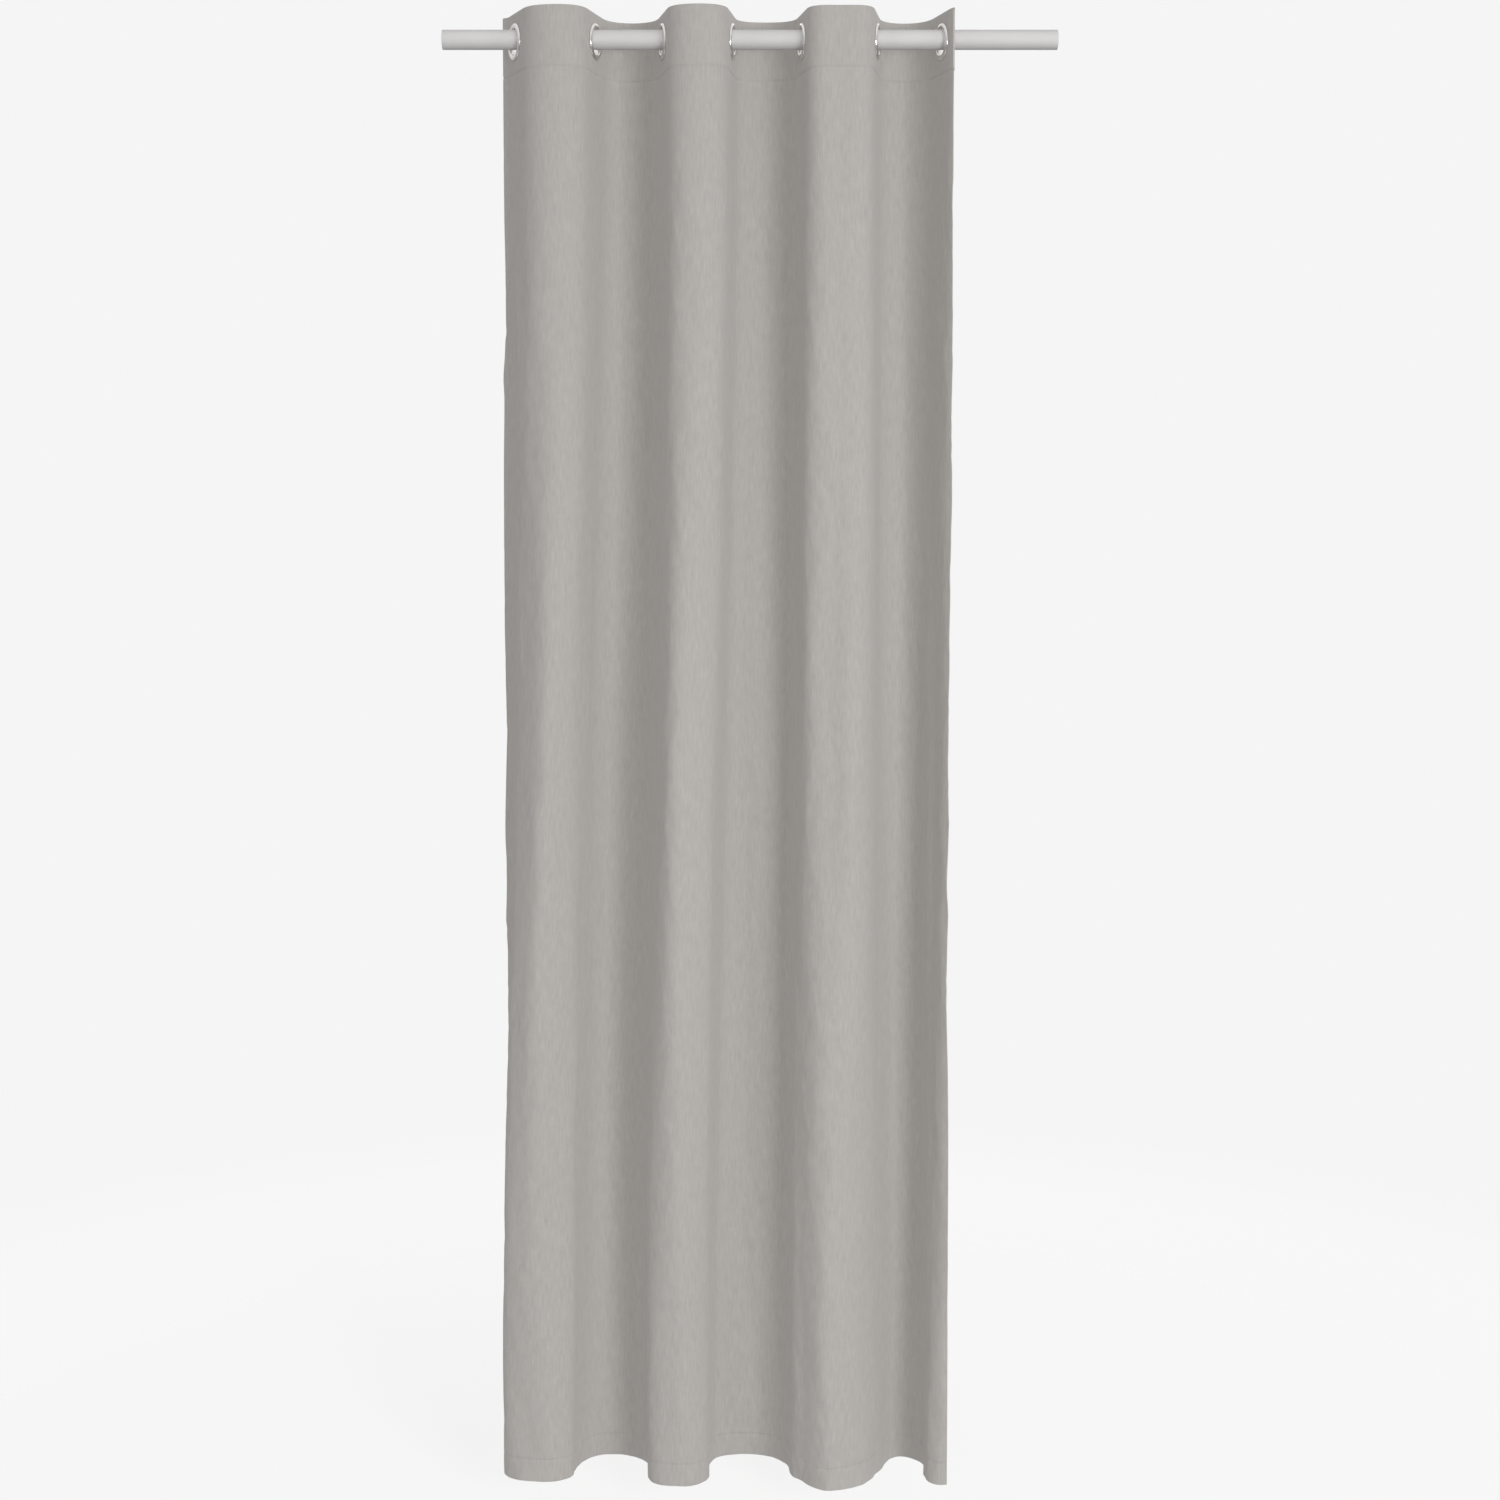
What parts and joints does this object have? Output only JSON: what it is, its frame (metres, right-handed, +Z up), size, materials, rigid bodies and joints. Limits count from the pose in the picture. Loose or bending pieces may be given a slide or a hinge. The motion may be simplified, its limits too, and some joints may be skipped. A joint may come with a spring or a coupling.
{
  "type": "eyelet curtain panel",
  "caption": "Long fabric curtain panel hung in soft waves from clamped metal eyelets threaded on a straight round pole, with a stiffened heading and sewn hems.",
  "frame": {"origin": "the middle of the pole's axis, where the wall brackets hold the pole", "axes": "+X along the pole, -Y towards the room (the cloth's face), +Z up"},
  "size_m": [1.004, 0.1675, 2.45],
  "materials": {
    "cloth": "matte plain weave",
    "stiffener": "matte",
    "nickel": "polished",
    "painted_pole": "satin"
  },
  "bodies": {
    "pole": {"pole": "painted_pole"},
    "slider_1": {"eyelet_1": "nickel", "eyelet_washer_1": "nickel", "cloth_edge_left": "cloth", "heading_tape_edge_left": "stiffener", "heading_facing_edge_left": "cloth", "bottom_hem_edge_left": "cloth", "cloth_bay_1": "cloth", "heading_tape_bay_1": "stiffener", "heading_facing_bay_1": "cloth", "bottom_hem_bay_1": "cloth", "side_hem_left": "cloth"},
    "slider_2": {"eyelet_2": "nickel", "eyelet_washer_2": "nickel", "cloth_bay_2": "cloth", "heading_tape_bay_2": "stiffener", "heading_facing_bay_2": "cloth", "bottom_hem_bay_2": "cloth"},
    "slider_3": {"eyelet_3": "nickel", "eyelet_washer_3": "nickel", "cloth_bay_3": "cloth", "heading_tape_bay_3": "stiffener", "heading_facing_bay_3": "cloth", "bottom_hem_bay_3": "cloth"},
    "slider_4": {"eyelet_4": "nickel", "eyelet_washer_4": "nickel", "cloth_bay_4": "cloth", "heading_tape_bay_4": "stiffener", "heading_facing_bay_4": "cloth", "bottom_hem_bay_4": "cloth"},
    "slider_5": {"eyelet_5": "nickel", "eyelet_washer_5": "nickel", "cloth_bay_5": "cloth", "heading_tape_bay_5": "stiffener", "heading_facing_bay_5": "cloth", "bottom_hem_bay_5": "cloth"},
    "slider_6": {"eyelet_6": "nickel", "eyelet_washer_6": "nickel", "cloth_bay_6": "cloth", "heading_tape_bay_6": "stiffener", "heading_facing_bay_6": "cloth", "bottom_hem_bay_6": "cloth"},
    "slider_7": {"eyelet_7": "nickel", "eyelet_washer_7": "nickel", "cloth_edge_right": "cloth", "heading_tape_edge_right": "stiffener", "heading_facing_edge_right": "cloth", "bottom_hem_edge_right": "cloth", "side_hem_right": "cloth"}
  },
  "joints": [
    {"name": "panel_slide", "type": "slide", "parent": "pole", "child": "slider_1", "axis": [1, 0, 0], "range_m": [-0.08, 0.07]},
    {"name": "gather_2", "type": "slide", "parent": "slider_1", "child": "slider_2", "axis": [1, 0, 0], "range_m": [-0.06, 0.015], "deforming": ["cloth_bay_1", "heading_tape_bay_1", "heading_facing_bay_1", "bottom_hem_bay_1"]},
    {"name": "gather_3", "type": "slide", "parent": "slider_2", "child": "slider_3", "axis": [1, 0, 0], "range_m": [-0.06, 0.015], "deforming": ["cloth_bay_2", "heading_tape_bay_2", "heading_facing_bay_2", "bottom_hem_bay_2"]},
    {"name": "gather_4", "type": "slide", "parent": "slider_3", "child": "slider_4", "axis": [1, 0, 0], "range_m": [-0.06, 0.015], "deforming": ["cloth_bay_3", "heading_tape_bay_3", "heading_facing_bay_3", "bottom_hem_bay_3"]},
    {"name": "gather_5", "type": "slide", "parent": "slider_4", "child": "slider_5", "axis": [1, 0, 0], "range_m": [-0.06, 0.015], "deforming": ["cloth_bay_4", "heading_tape_bay_4", "heading_facing_bay_4", "bottom_hem_bay_4"]},
    {"name": "gather_6", "type": "slide", "parent": "slider_5", "child": "slider_6", "axis": [1, 0, 0], "range_m": [-0.06, 0.015], "deforming": ["cloth_bay_5", "heading_tape_bay_5", "heading_facing_bay_5", "bottom_hem_bay_5"]},
    {"name": "gather_7", "type": "slide", "parent": "slider_6", "child": "slider_7", "axis": [1, 0, 0], "range_m": [-0.06, 0.015], "deforming": ["cloth_bay_6", "heading_tape_bay_6", "heading_facing_bay_6", "bottom_hem_bay_6"]}
  ]
}
